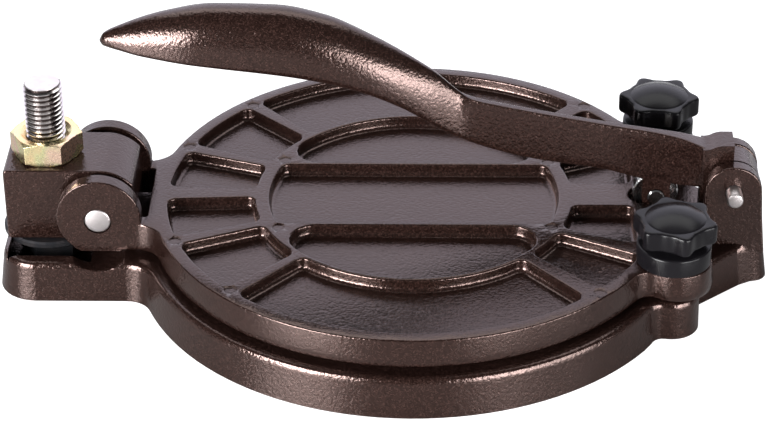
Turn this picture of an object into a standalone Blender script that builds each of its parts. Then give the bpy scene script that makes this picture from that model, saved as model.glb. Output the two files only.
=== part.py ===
"""Tortilla press: a round base plate and a ribbed lid of cast metal, hinged on a clamped block, closed by a lever.

Sizes are in millimetres, turned into metres where the meshes are made. The origin is on the plates' common
axis, on the base's underside: +X towards the lever's pivot, -X towards the lid's hinge, +Z up.
Run with: blender --background --python part.py
"""
import math

import bmesh
import bpy
from mathutils import Vector

MM = 0.001

# Clearances
GAP = 0.3              # between pieces that touch or turn in each other
SPIN_GAP = 0.3         # beside a nut or a knob that turns on its seat

# Base plate
BASE_LIP = 6.7         # how far its top edge stands out past the lid's, before its rounding
BASE_HEIGHT = 20.0
BASE_DRAFT = 2.3       # how much wider each wall is at the underside
BASE_EDGE = 3.0        # rounding of the top edge
PLATE_GAP = 2.5        # between the pressing faces

# Lid plate
LID_RADIUS = 127.0     # at the top
LID_DRAFT = 1.0
LID_THICKNESS = 14.0
LID_EDGE = 0.8
LID_RIM = 7.0          # between the outer pockets and the lid's edge
POCKET_DEPTH = 6.0
PANEL_HALF_WIDTH = 27.0
PANEL_END_RADIUS = 70.5
PANEL_CORNER = 5.0
SIDE_POCKET_CHORD = 29.5
SIDE_POCKET_RADIUS = 74.5
SIDE_POCKET_CORNER = 12.0
RING_INNER_RADIUS = 77.5
RING_CORNER = 4.0
RING_SECTORS = ((48.5, 132.0), (136.0, 157.0), (161.0, 177.0), (27.0, 43.5))
TONGUE_HALF_WIDTH = 10.8
TONGUE_POCKET_ANGLE = 22.8
TONGUE_POCKET_RIM = 20.5  # between the pockets beside the tongue and the lid's edge
ROLLER_SLOT_HALF_WIDTH = 8.6
ROLLER_SLOT_FLOOR = 5.5   # above the lid's underside
ROLLER_SLOT_REACH = 12.8  # past the roller's axis

# Lid hinge, at the left
PIN_RADIUS = 6.35
PIN_OUT = 24.5         # its axis past the lid's edge
PIN_RISE = 1.7         # and above the lid's top
EAR_RADIUS = 20.4
EAR_RISE = 1.5         # the ear's round sits this much above the pin
EAR_INNER = 22.5
EAR_THICKNESS = 7.8
EAR_DROP = 0.9         # the ear's flat foot below the lid's underside
EAR_FILLET = 14.0
FORK_WEB_OUT = 1.6     # the web between the ears, past the lid's edge
SCALLOP_CLEARANCE = 1.9   # past the ear's round, in the base's lug

# Hinge block, stud, nuts and washer
BLOCK_REACH = 16.6     # past the pin's axis, towards the lid
BLOCK_BACK = 19.6      # past the stud's axis, away from the lid
BLOCK_HALF_WIDTH = 19.0
BLOCK_RAISE = 1.4      # above the base
BLOCK_CROWN = 21.3     # its top above the pin's axis
BLOCK_ROUND = 21.4     # about the pin, so that the block clears the lid's web
STUD_RADIUS = 9.525
STUD_BACK = 26.2       # from the pin's axis to the stud's
STUD_RISE = 38.3       # its top above the block
STUD_FOOT = 0.5
STUD_CHAMFER = 1.2
NUT_ACROSS_FLATS = 30.6
NUT_HEIGHT = 11.5
NUT_SINK_RADIUS = 13.2
NUT_SINK_DEPTH = 2.4
LOWER_NUT_RADIUS = 18.0   # to its corners
LOWER_NUT_HEIGHT = 9.6
LOWER_NUT_TURN = 7.0      # degrees
WASHER_RADIUS = 23.0
WASHER_THICKNESS = 3.6
WASHER_OFFSET = -1.0      # the washer lies a little off the stud's axis
WASHER_SPARE = 0.8        # around the washer, in the lug

# Lug that carries the stud
LUG_BACK = 21.5           # past the stud's axis
LUG_HALF_WIDTH = 39.4
LUG_CORNER = 17.0
LUG_FILLET = 15.0
LUG_POCKET_HALF_WIDTH = 32.0
LUG_POCKET_REACH = 21.7   # past the stud's axis, towards the plate
LUG_POCKET_CORNER = 12.0
LUG_POCKET_SPARE = 0.6    # past the lower nut's corners

# Closing stops: bosses, rings, screws and star knobs
KNOB_OUT = 1.8            # a stop's axis past the base's top edge
KNOB_BEARING = 25.3       # degrees
BASE_BOSS_RADIUS = 13.2
BASE_BOSS_DRAFT = 0.4
LID_BOSS_RADIUS = 16.2
LID_BOSS_OUT = 2.0        # past the stop's axis, along X
LID_BOSS_TAPER = 1.2      # how much narrower it is at the lid's underside
LID_BOSS_TAPER_HEIGHT = 4.0
BOSS_FILLET = 8.0
SPOT_RADIUS = 7.5
SPOT_DEPTH = 0.5
SCREW_RADIUS = 4.75
SCREW_DROP = 0.4          # its tip below the lid's underside
RING_RADIUS = 17.6
RING_HEIGHT = 9.4
KNOB_LOBES = 6
KNOB_RADIUS = 20.0
KNOB_VALLEY = 3.6
KNOB_POINT = 0.5          # makes the lobes narrower than the valleys
KNOB_HUB_RADIUS = 9.0
KNOB_HUB_HEIGHT = 3.0
KNOB_SIDE = 9.8
KNOB_EDGE = 1.2
KNOB_DOME_RADIUS = 14.3
KNOB_DOME = 4.0
KNOB_SCREW_DEPTH = 7.0
KNOB_TURNS = {"front": -78.0, "rear": -66.0}

# Lever pivot, at the right
PIVOT_OUT = 27.0          # its axis past the lid's edge
PIVOT_RISE = 10.3         # and above the lid's top
CLEVIS_RADIUS = 13.7
CLEVIS_INNER = 8.2
CLEVIS_TOP_OUTER = 15.2
CLEVIS_FOOT_OUTER = 21.5
CLEVIS_FOOT_REACH = 18.3  # past the pivot
NECK_HALF_WIDTH = 18.6
NECK_CORNER = 5.0
NECK_TOP = 19.0
# The neck's flank, as distances past the pivot and out past the neck's half width
NECK_FLANK = ((9.0, 0.6), (3.0, 4.0), (-16.0, 18.9))
LEVER_PIN_RADIUS = 4.0
LEVER_PIN_HALF = 23.5

# Lever, as distances back from the pivot and up from it
HUB_RADIUS = 13.3
HUB_HALF_WIDTH = 7.0
HUB_ROOT = 18.0
HORN_BACK = 13.0
HORN_STEP = 7.6
HORN_TOP = 21.2
HORN_STEP_RISE = 18.5
GRIP_REACH = 302.6
LEVER_TOP = ((13.0, 18.7), (26.0, 23.2), (64.0, 30.2), (112.5, 39.9), (127.0, 43.7), (145.3, 58.7), (173.6, 76.4),
             (196.0, 87.2), (219.0, 92.2), (248.0, 93.0), (271.5, 89.0), (295.6, 80.6), (GRIP_REACH, 73.5))
LEVER_BOTTOM = ((13.0, -3.0), (37.0, 0.2), (64.0, 6.9), (98.0, 12.4), (131.7, 23.2), (160.5, 42.2), (179.0, 51.2),
                (208.0, 59.2), (249.0, 64.7), (288.0, 69.2), (GRIP_REACH, 72.9))
# At each distance: half width at the top and at the bottom, height of the widest line, squareness above and below
LEVER_SECTIONS = ((13.0, 6.6, 6.6, 0.5, 9.0, 9.0), (26.0, 5.0, 6.6, 0.5, 9.0, 9.0), (42.0, 2.8, 6.6, 0.5, 9.0, 9.0),
                  (64.0, 2.3, 5.5, 0.5, 9.0, 9.0), (127.0, 2.2, 5.0, 0.5, 9.0, 9.0), (148.0, 9.0, 9.0, 0.38, 2.4, 4.0),
                  (179.0, 14.0, 14.0, 0.32, 2.1, 3.4), (214.0, 16.0, 16.0, 0.30, 2.0, 3.2),
                  (254.0, 15.0, 15.0, 0.30, 2.0, 3.0), (282.0, 10.5, 10.5, 0.34, 2.0, 2.4),
                  (296.0, 5.6, 5.6, 0.4, 2.0, 2.0), (GRIP_REACH, 0.5, 0.5, 0.5, 2.0, 2.0))
LEVER_STATIONS = 34
LEVER_SIDES = 16
TIP_STATIONS = (4.0, 1.2, 0.0)   # the last rings, before the grip's tip

# Roller: a ball bearing between the cheeks of the lever's fork
ROLLER_IN = 9.6           # its axis inside the lid's edge
ROLLER_RADIUS = 11.0
ROLLER_HALF_WIDTH = 3.5
ROLLER_RACE_RADIUS = 8.9
ROLLER_BORE_RADIUS = 4.3
ROLLER_INNER_RADIUS = 6.0
ROLLER_PIN_RADIUS = 4.0
ROLLER_PIN_HALF = 8.0
CHEEK_INNER = 4.3
CHEEK_OUTER = 7.0
CHEEK_RADIUS = 6.8
CHEEK_CLEARANCE = 0.7
SHIELD_THICKNESS = 0.5
BALL_COUNT = 8
CAGE_THICKNESS = 0.8
CAGE_HALF_WIDTH = 0.6

# What follows from those sizes
BASE_RADIUS = LID_RADIUS + BASE_LIP
LID_BOTTOM = BASE_HEIGHT + PLATE_GAP
LID_TOP = LID_BOTTOM + LID_THICKNESS
RING_OUTER_RADIUS = LID_RADIUS - LID_RIM
TONGUE_POCKET_END = LID_RADIUS - TONGUE_POCKET_RIM
PIN_X = -(LID_RADIUS + PIN_OUT)
PIN_Z = LID_TOP + PIN_RISE
FORK_WEB_X = -(LID_RADIUS + FORK_WEB_OUT)
STUD_X = PIN_X - STUD_BACK
BLOCK_LEFT = STUD_X - BLOCK_BACK
BLOCK_RIGHT = PIN_X + BLOCK_REACH
BLOCK_BOTTOM = BASE_HEIGHT + BLOCK_RAISE
BLOCK_TOP = PIN_Z + BLOCK_CROWN
STUD_TOP = BLOCK_TOP + STUD_RISE
LUG_LEFT = STUD_X - LUG_BACK
LUG_POCKET_RIGHT = STUD_X + LUG_POCKET_REACH
KNOB_X = (BASE_RADIUS + KNOB_OUT) * math.cos(math.radians(KNOB_BEARING))
KNOB_Y = (BASE_RADIUS + KNOB_OUT) * math.sin(math.radians(KNOB_BEARING))
LID_BOSS_X = KNOB_X + LID_BOSS_OUT
PIVOT_X = LID_RADIUS + PIVOT_OUT
PIVOT_Z = LID_TOP + PIVOT_RISE
CLEVIS_FOOT_RIGHT = PIVOT_X + CLEVIS_FOOT_REACH
ROLLER_X = LID_RADIUS - ROLLER_IN
EAR_OUTER = EAR_INNER + EAR_THICKNESS
WASHER_TOP = BLOCK_BOTTOM - GAP
WASHER_BOTTOM = WASHER_TOP - WASHER_THICKNESS
LOWER_NUT_TOP = WASHER_BOTTOM - GAP
HEIGHT_TRAVEL = BLOCK_BOTTOM - BASE_HEIGHT - GAP   # the block can be clamped this much lower
LUG_FLOOR = LOWER_NUT_TOP - LOWER_NUT_HEIGHT - HEIGHT_TRAVEL - GAP
RING_BOTTOM = LID_TOP + GAP
RING_TOP = RING_BOTTOM + RING_HEIGHT
HUB_BOTTOM = RING_TOP + SPIN_GAP
HEAD_BOTTOM = HUB_BOTTOM + KNOB_HUB_HEIGHT
ROLLER_Z = LID_BOTTOM + ROLLER_SLOT_FLOOR + GAP + ROLLER_RADIUS


# Meshes
def clear_scene():
    for old in list(bpy.data.objects):
        bpy.data.objects.remove(old, do_unlink=True)


def material(name, colour, metallic, roughness):
    made = bpy.data.materials.new(name)
    made.use_nodes = True
    shader = made.node_tree.nodes["Principled BSDF"]
    shader.inputs["Base Color"].default_value = (*colour, 1.0)
    shader.inputs["Metallic"].default_value = metallic
    shader.inputs["Roughness"].default_value = roughness
    made.diffuse_color = (*colour, 1.0)
    return made


def warped(face):
    centre = face.calc_center_median()
    return any(abs((v.co - centre).dot(face.normal)) > 0.0005 for v in face.verts)


def place(name, bm, origin=(0.0, 0.0, 0.0), surface=None, parent=None):
    """Makes an object of a mesh drawn in millimetres of the whole press, with its origin at the given point."""
    bmesh.ops.recalc_face_normals(bm, faces=bm.faces)
    bm.normal_update()
    bmesh.ops.triangulate(bm, faces=[face for face in bm.faces if warped(face)])
    bmesh.ops.translate(bm, verts=bm.verts, vec=-Vector(origin))
    bmesh.ops.scale(bm, verts=bm.verts, vec=(MM, MM, MM))
    mesh = bpy.data.meshes.new(name)
    bm.to_mesh(mesh)
    bm.free()
    mesh.shade_smooth()
    mesh.set_sharp_from_angle(angle=math.radians(32))
    made = bpy.data.objects.new(name, mesh)
    bpy.context.scene.collection.objects.link(made)
    made.location = Vector(origin) * MM
    if parent:
        hang(made, parent)
    if surface:
        mesh.materials.append(surface)
    return made


def spot_of(thing):
    """Where an object stands in the whole press; nothing here is turned or scaled."""
    spot = Vector(thing.location)
    while thing.parent:
        thing = thing.parent
        spot += Vector(thing.location)
    return spot


def hang(thing, parent):
    """Makes one object the child of another and leaves it where it stands."""
    spot = spot_of(thing)
    thing.parent = parent
    thing.location = spot - spot_of(parent)


def axis_empty(name, point, parent=None):
    """Marks a joint's axis; the pieces that turn on it are its children."""
    made = bpy.data.objects.new(name, None)
    made.empty_display_size = 0.02
    made.location = Vector(point) * MM
    bpy.context.scene.collection.objects.link(made)
    if parent:
        hang(made, parent)
    return made


def combine(target, tool, operation):
    tool.hide_render = True
    tool.display_type = "WIRE"
    step = target.modifiers.new(f"{operation.lower()} {tool.name}", "BOOLEAN")
    step.operation = operation
    step.solver = "EXACT"
    step.object = tool
    return target


def cut(target, tool):
    return combine(target, tool, "DIFFERENCE")


def join(target, tool):
    return combine(target, tool, "UNION")


def keep(target, tool):
    return combine(target, tool, "INTERSECT")


def stack(rings, closed_ends=True):
    """A solid through rings of points, each with as many points as the next."""
    bm = bmesh.new()
    made = [[bm.verts.new(p) for p in ring] for ring in rings]
    count = len(rings[0])
    for low, high in zip(made, made[1:]):
        for i in range(count):
            j = (i + 1) % count
            bm.faces.new((low[i], low[j], high[j], high[i]))
    if closed_ends:
        bm.faces.new(list(reversed(made[0])))
        bm.faces.new(made[-1])
    return bm


def prism(outline, bottom, top):
    return stack([[(x, y, z) for x, y in outline] for z in (bottom, top)])


def side_prism(outline, front, back):
    """An outline of (x, z) points carried along Y."""
    return stack([[(x, y, z) for x, z in outline] for y in (front, back)])


def moved_out(outline, amounts):
    """The outline moved outwards, each point along the mean normal of its two sides."""
    made = []
    count = len(outline)
    if isinstance(amounts, float):
        amounts = [amounts] * count
    for i in range(count):
        here = Vector(outline[i])
        before = (here - Vector(outline[i - 1])).normalized()
        after = (Vector(outline[(i + 1) % count]) - here).normalized()
        normal = Vector((before.y + after.y, -before.x - after.x)).normalized()
        lean = max(0.5, math.sqrt(max(0.0, (1 + before.dot(after)) / 2)))
        made.append(tuple(here + normal * (amounts[i] / lean)))
    return made


def turned(profile, segments, centre=(0.0, 0.0), along="Z"):
    """Turns a closed profile of (radius, height) points about an axis through centre."""
    rings = []
    for i in range(segments):
        angle = 2 * math.pi * i / segments
        ring = []
        for radius, height in profile:
            a, b = radius * math.cos(angle), radius * math.sin(angle)
            if along == "Z":
                ring.append((centre[0] + a, centre[1] + b, height))
            else:
                ring.append((centre[0] + a, height, centre[1] + b))
        rings.append(ring)
    bm = bmesh.new()
    made = [[bm.verts.new(p) for p in ring] for ring in rings]
    count = len(profile)
    for k in range(segments):
        here, there = made[k], made[(k + 1) % segments]
        for i in range(count):
            j = (i + 1) % count
            bm.faces.new((here[i], here[j], there[j], there[i]))
    return bm


def rod(radius, low, high, segments, centre, along="Z", chamfer=0.0):
    """A round bar, with both ends chamfered where asked."""
    steps = [(radius - chamfer, low), (radius, low + chamfer), (radius, high - chamfer), (radius - chamfer, high)]
    if not chamfer:
        steps = [(radius, low), (radius, high)]
    rings = []
    for r, h in steps:
        ring = []
        for i in range(segments):
            angle = 2 * math.pi * (i + 0.5) / segments
            a, b = r * math.cos(angle), r * math.sin(angle)
            ring.append((centre[0] + a, centre[1] + b, h) if along == "Z" else (centre[0] + a, h, centre[1] + b))
        rings.append(ring)
    return stack(rings)


def arc(centre, radius, start, end, step=5.0):
    """Points from the start angle to the end angle, in degrees."""
    count = max(1, math.ceil(abs(end - start) / step))
    made = []
    for i in range(count + 1):
        angle = math.radians(start + (end - start) * i / count)
        made.append((centre[0] + radius * math.cos(angle), centre[1] + radius * math.sin(angle)))
    return made


def mirrored(half):
    """Closes an outline whose half runs from the +X end to the -X end above the X axis."""
    return half + [(x, -y) for x, y in reversed(half) if abs(y) > 1e-6]


def bearing_of(point, centre=(0.0, 0.0)):
    return math.degrees(math.atan2(point[1] - centre[1], point[0] - centre[0]))


def around(radius, bearing):
    """The point at a radius and a bearing, in degrees, from the plates' axis."""
    return (radius * math.cos(math.radians(bearing)), radius * math.sin(math.radians(bearing)))


def circle_fillet(big, boss_x, boss_y, boss, fillet, after):
    """Centre of the fillet between the plate's rim and a boss, on the side with the larger or smaller bearing."""
    far = math.hypot(boss_x, boss_y)
    a, b = big + fillet, boss + fillet
    lean = math.degrees(math.acos((a * a + far * far - b * b) / (2 * a * far)))
    bearing = bearing_of((boss_x, boss_y)) + (lean if after else -lean)
    return (a * math.cos(math.radians(bearing)), a * math.sin(math.radians(bearing)))


def soften(bm, radius, segments=3):
    """Rounds the upright corners of a prism."""
    corners = []
    for edge in bm.edges:
        a, b = edge.verts
        upright = abs(a.co.z - b.co.z) > 1e-6 and (a.co.xy - b.co.xy).length < 1e-6
        if upright and edge.calc_face_angle(0.0) > math.radians(25):
            corners.append(edge)
    bmesh.ops.bevel(bm, geom=corners, offset=radius, segments=segments, profile=0.5, affect="EDGES")
    return bm


def curve_at(points, x):
    """A smooth height through (x, height) points listed by falling x."""
    for i in range(len(points) - 1):
        x0, x1 = points[i][0], points[i + 1][0]
        if x >= x1 or i == len(points) - 2:
            break

    def slope(k):
        if k == 0 or k == len(points) - 1:
            a, b = (points[0], points[1]) if k == 0 else (points[-2], points[-1])
            return (b[1] - a[1]) / (b[0] - a[0])
        left = (points[k][1] - points[k - 1][1]) / (points[k][0] - points[k - 1][0])
        right = (points[k + 1][1] - points[k][1]) / (points[k + 1][0] - points[k][0])
        return 0.0 if left * right <= 0 else 2 * left * right / (left + right)

    span = x1 - x0
    t = (x - x0) / span
    a, b = points[i][1], points[i + 1][1]
    return ((1 + 2 * t) * (1 - t) ** 2 * a + t * (1 - t) ** 2 * span * slope(i)
            + t * t * (3 - 2 * t) * b - t * t * (1 - t) * span * slope(i + 1))


# Outlines
def base_outline():
    """The base from above: neck, bosses, disc and lug."""
    radius = BASE_RADIUS
    half = [(CLEVIS_FOOT_RIGHT - BASE_DRAFT, 0.0)]
    corner = (CLEVIS_FOOT_RIGHT - BASE_DRAFT - NECK_CORNER, NECK_HALF_WIDTH - NECK_CORNER)
    half += arc(corner, NECK_CORNER, 0, 80, 20)
    flank = [(PIVOT_X + past, NECK_HALF_WIDTH + out) for past, out in NECK_FLANK]
    half += flank[:-1]
    boss = (KNOB_X, KNOB_Y)
    start = bearing_of(flank[-1], boss)
    half += arc(boss, BASE_BOSS_RADIUS, start, 90, 8)
    far = circle_fillet(radius, KNOB_X, KNOB_Y, BASE_BOSS_RADIUS, BOSS_FILLET, True)
    half += arc(boss, BASE_BOSS_RADIUS, 98, bearing_of(far, boss), 8)
    half += arc(far, BOSS_FILLET, bearing_of(far, boss) - 180, bearing_of(far) - 180, 15)[1:]
    fillet_y = LUG_HALF_WIDTH + LUG_FILLET
    fillet = (-math.sqrt((radius + LUG_FILLET) ** 2 - fillet_y ** 2), fillet_y)
    half += arc((0.0, 0.0), radius, bearing_of(far) + 3, bearing_of(fillet), 3)
    half += arc(fillet, LUG_FILLET, bearing_of(fillet) - 180, -90, 12)[1:]
    corner = (LUG_LEFT + LUG_CORNER, LUG_HALF_WIDTH - LUG_CORNER)
    half += arc(corner, LUG_CORNER, 90, 180, 10)
    return mirrored(half)


def lid_outline():
    """The lid from above: disc, bosses and the two arms of the fork."""
    radius = LID_RADIUS
    far = circle_fillet(radius, LID_BOSS_X, KNOB_Y, LID_BOSS_RADIUS, BOSS_FILLET, True)
    near = circle_fillet(radius, LID_BOSS_X, KNOB_Y, LID_BOSS_RADIUS, BOSS_FILLET, False)
    boss = (LID_BOSS_X, KNOB_Y)
    half = arc((0.0, 0.0), radius, 0, bearing_of(near), 3)
    half += arc(near, BOSS_FILLET, bearing_of(near) + 180, bearing_of(boss, near), 15)[1:]
    half += arc(boss, LID_BOSS_RADIUS, bearing_of(near, boss), bearing_of(far, boss), 8)[1:]
    half += arc(far, BOSS_FILLET, bearing_of(boss, far) + 360, bearing_of(far) + 180, 15)[1:]
    fillet_y = EAR_OUTER + EAR_FILLET
    fillet = (-math.sqrt((radius + EAR_FILLET) ** 2 - fillet_y ** 2), fillet_y)
    half += arc((0.0, 0.0), radius, bearing_of(far), bearing_of(fillet), 3)[1:]
    half += arc(fillet, EAR_FILLET, bearing_of(fillet) - 180, -90, 12)[1:]
    half += [(PIN_X, EAR_OUTER), (PIN_X, EAR_INNER)]
    half += [(FORK_WEB_X - 1.0, EAR_INNER), (FORK_WEB_X, EAR_INNER - 1.0)]
    return mirrored(half)


def bound(kind, value, bearing=0.0):
    """One side of a pocket: within or beyond a circle about the plate's axis, or a line at a distance from it.

    A line's bearing is that of its normal, which points into the pocket.
    """
    return (kind, value, math.radians(bearing))


def shifted(side, inwards):
    kind, value, bearing = side
    return (kind, value - inwards if kind == "within" else value + inwards, bearing)


def crossing(first, second, hint):
    """Where two sides of a pocket meet, nearest the hint."""
    if first[0] != "line":
        first, second = second, first
    along = Vector((-math.sin(first[2]), math.cos(first[2])))
    foot = Vector((math.cos(first[2]), math.sin(first[2]))) * first[1]
    if second[0] == "line":
        normal = Vector((math.cos(second[2]), math.sin(second[2])))
        return foot + along * ((second[1] - foot.dot(normal)) / along.dot(normal))
    reach = math.sqrt(second[1] ** 2 - first[1] ** 2)
    return min((foot + along * reach, foot - along * reach), key=lambda p: (p - Vector(hint)).length)


def touching(side, centre):
    """The bearing in which a corner's circle touches a side of its pocket."""
    if side[0] == "line":
        return side[2] + math.pi
    outwards = math.atan2(centre.y, centre.x)
    return outwards if side[0] == "within" else outwards + math.pi


def pocket(sides, corners, radius, inwards=0.0, step=4.0):
    """A pocket's outline with round corners, run the same way as its sides, all moved inwards alike."""
    centres = []
    for i, hint in enumerate(corners):
        pair = (shifted(sides[i], radius), shifted(sides[(i + 1) % len(sides)], radius))
        centres.append(crossing(*pair, hint))
    made = []
    for i, centre in enumerate(centres):
        start = math.degrees(touching(sides[i], centre))
        end = math.degrees(touching(sides[(i + 1) % len(sides)], centre))
        end = start + (end - start) % 360
        made += arc(centre, radius - inwards, start, end, 22)
        side = sides[(i + 1) % len(sides)]
        if side[0] != "line":
            after = centres[(i + 1) % len(centres)]
            size = side[1] - inwards if side[0] == "within" else side[1] + inwards
            a, b = bearing_of(centre), bearing_of(after)
            turn = (b - a) % 360 if side[0] == "within" else -((a - b) % 360)
            made += arc((0, 0), size, a, a + turn, step)[1:-1]
    return made


def ring_pocket(start, end):
    """A pocket of the outer ring between two radial ribs."""
    sides = [bound("line", 0.0, start + 90), bound("within", RING_OUTER_RADIUS), bound("line", 0.0, end - 90),
             bound("beyond", RING_INNER_RADIUS)]
    corners = [around(RING_OUTER_RADIUS, start), around(RING_OUTER_RADIUS, end)]
    corners += [around(RING_INNER_RADIUS, end), around(RING_INNER_RADIUS, start)]
    return sides, corners, RING_CORNER


def pockets():
    """Each pocket of the lid as its name, sides, corners and corner radius; the front ones mirror the rear ones."""
    reach = math.sqrt(PANEL_END_RADIUS ** 2 - PANEL_HALF_WIDTH ** 2)
    wide = PANEL_HALF_WIDTH
    end = bound("within", PANEL_END_RADIUS)
    sides = [bound("line", -wide, 90), end, bound("line", -wide, -90), end]
    made = [("panel", sides, [(reach, -wide), (reach, wide), (-reach, wide), (-reach, -wide)], PANEL_CORNER)]
    reach = math.sqrt(SIDE_POCKET_RADIUS ** 2 - SIDE_POCKET_CHORD ** 2)
    sides = [bound("line", SIDE_POCKET_CHORD, 90), bound("within", SIDE_POCKET_RADIUS)]
    corners = [(reach, SIDE_POCKET_CHORD), (-reach, SIDE_POCKET_CHORD)]
    made.append(("side", sides, corners, SIDE_POCKET_CORNER))
    for number, (start, end) in enumerate(RING_SECTORS):
        made.append((f"ring {number + 1}", *ring_pocket(start, end)))
    far_side = TONGUE_POCKET_END * math.tan(math.radians(TONGUE_POCKET_ANGLE))
    sides = [bound("line", TONGUE_HALF_WIDTH, 90), bound("line", -TONGUE_POCKET_END, 180),
             bound("line", 0.0, TONGUE_POCKET_ANGLE - 90), bound("beyond", RING_INNER_RADIUS)]
    corners = [(TONGUE_POCKET_END, TONGUE_HALF_WIDTH), (TONGUE_POCKET_END, far_side),
               around(RING_INNER_RADIUS, TONGUE_POCKET_ANGLE), (RING_INNER_RADIUS, TONGUE_HALF_WIDTH)]
    made.append(("tongue", sides, corners, RING_CORNER))
    return made


def pocket_outlines(inwards=0.0):
    """The lid's pockets from above."""
    made = []
    for name, sides, corners, radius in pockets():
        outline = pocket(sides, corners, radius, inwards)
        made.append((f"{name} rear", outline))
        if name != "panel":
            made.append((f"{name} front", [(x, -y) for x, y in reversed(outline)]))
    return made


def star(inset, z, turn):
    """One ring of the star knob, with its lobes."""
    ring = []
    count = KNOB_LOBES * 8
    mean = KNOB_RADIUS - KNOB_VALLEY / 2 - KNOB_POINT
    for i in range(count):
        wave = 2 * math.pi * i / 8
        radius = mean + KNOB_VALLEY / 2 * math.cos(wave) + KNOB_POINT * math.cos(2 * wave) - inset
        angle = 2 * math.pi * i / count + math.radians(turn)
        ring.append((radius * math.cos(angle), radius * math.sin(angle), z))
    return ring


# Pieces
def make_base(surface):
    outline = base_outline()
    drafts = []
    for x, y in outline:
        beyond = math.hypot(x - KNOB_X, abs(y) - KNOB_Y) - BASE_BOSS_RADIUS
        drafts.append(BASE_BOSS_DRAFT + (BASE_DRAFT - BASE_BOSS_DRAFT) * min(1.0, max(0.0, beyond / BOSS_FILLET)))
    rings = [(drafts, 0.0), ([0.0] * len(outline), BASE_HEIGHT - BASE_EDGE)]
    for inwards, down in ((0.3, 0.3), (1.0, 0.0)):
        rings.append(([-BASE_EDGE * inwards] * len(outline), BASE_HEIGHT - BASE_EDGE * down))
    body = stack([[(x, y, z) for x, y in moved_out(outline, out)] for out, z in rings])
    base = place("base_plate", body, surface=surface)
    for side, word in ((1, "rear"), (-1, "front")):
        top = arc((PIVOT_X, PIVOT_Z), CLEVIS_RADIUS, 0, 180, 12)
        right = [(CLEVIS_FOOT_RIGHT - BASE_DRAFT, NECK_TOP - 4.0), (PIVOT_X + CLEVIS_RADIUS + 0.6, 35.0)]
        left = [(PIVOT_X - CLEVIS_RADIUS, PIVOT_Z - 1.0), (PIVOT_X - CLEVIS_RADIUS, NECK_TOP - 4.0)]
        outline = right + top + left
        lean = (CLEVIS_FOOT_OUTER - CLEVIS_TOP_OUTER) / PIVOT_Z
        outer = [(x, side * (CLEVIS_TOP_OUTER + lean * max(0.0, PIVOT_Z - z)), z) for x, z in outline]
        inner = [(x, side * CLEVIS_INNER, z) for x, z in outline]
        join(base, place(f"clevis ear {word}", stack([inner, outer])))
        spot = rod(SPOT_RADIUS, BASE_HEIGHT - SPOT_DEPTH, BASE_HEIGHT + 5, 32, (KNOB_X, side * KNOB_Y))
        cut(base, place(f"spot face {word}", spot))
    hole = rod(LEVER_PIN_RADIUS + GAP, -40, 40, 24, (PIVOT_X, PIVOT_Z), "Y")
    cut(base, place("lever pin hole", hole))
    corner_reach = LOWER_NUT_RADIUS + LUG_POCKET_SPARE
    left = STUD_X - corner_reach
    wide = LUG_POCKET_HALF_WIDTH
    pocket = [(left, -wide), (LUG_POCKET_RIGHT, -wide), (LUG_POCKET_RIGHT, wide), (left, wide)]
    cut(base, place("lug pocket", soften(prism(pocket, LUG_FLOOR, BASE_HEIGHT + 5), LUG_POCKET_CORNER, 4)))
    low = WASHER_BOTTOM - HEIGHT_TRAVEL - GAP
    seat = rod(WASHER_RADIUS + WASHER_SPARE, low, BASE_HEIGHT + 5, 48, (STUD_X + WASHER_OFFSET, 0.0))
    cut(base, place("washer recess", seat))
    sweep = EAR_RADIUS + SCALLOP_CLEARANCE
    cut(base, place("ear scallop", rod(sweep, -60, 60, 64, (PIN_X, PIN_Z), "Y")))
    cut(base, place("stud hole", rod(STUD_RADIUS + GAP, -5, BASE_HEIGHT + 5, 40, (STUD_X, 0.0))))
    return base


def make_stud(surface):
    body = rod(STUD_RADIUS, STUD_FOOT, STUD_TOP, 40, (STUD_X, 0.0), "Z", STUD_CHAMFER)
    return place("hinge_stud", body, (STUD_X, 0.0, 0.0), surface)


def make_nut(name, bottom, height, corner, turn, sink, surface, parent):
    """A hexagon nut with chamfered corners and a plain bore."""
    centre = (STUD_X, 0.0)
    outline = [(centre[0] + x, y) for x, y in arc((0, 0), corner, turn, turn + 300, 60)]
    nut = place(name, prism(outline, bottom, bottom + height), (STUD_X, 0.0, bottom), surface, parent)
    flat = corner * math.cos(math.radians(30))
    slope = (corner - flat) * 0.55
    shape = [(0.01, bottom - 1), (flat, bottom - 0.01), (corner + 0.3, bottom + slope),
             (corner + 0.3, bottom + height - slope), (flat, bottom + height + 0.01), (0.01, bottom + height + 1)]
    keep(nut, place(f"{name} chamfer", turned(shape, 48, centre)))
    cut(nut, place(f"{name} bore", rod(STUD_RADIUS + GAP, bottom - 5, bottom + height + 5, 40, centre)))
    if sink:
        top = bottom + height
        cone = [(STUD_RADIUS - 3, top - NUT_SINK_DEPTH - 2.0), (NUT_SINK_RADIUS + 2.0, top + 2.0), (STUD_RADIUS - 3, top + 2.0)]
        cut(nut, place(f"{name} countersink", turned(cone, 40, centre)))
    return nut


def make_washer(surface, parent):
    centre = (STUD_X + WASHER_OFFSET, 0.0)
    hole = STUD_RADIUS + GAP - WASHER_OFFSET
    profile = [(hole, WASHER_BOTTOM), (WASHER_RADIUS - 0.8, WASHER_BOTTOM), (WASHER_RADIUS, WASHER_BOTTOM + 0.8),
               (WASHER_RADIUS, WASHER_TOP - 0.8), (WASHER_RADIUS - 0.8, WASHER_TOP), (hole, WASHER_TOP)]
    return place("support_washer", turned(profile, 48, centre), (STUD_X, 0.0, WASHER_BOTTOM), surface, parent)


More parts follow.
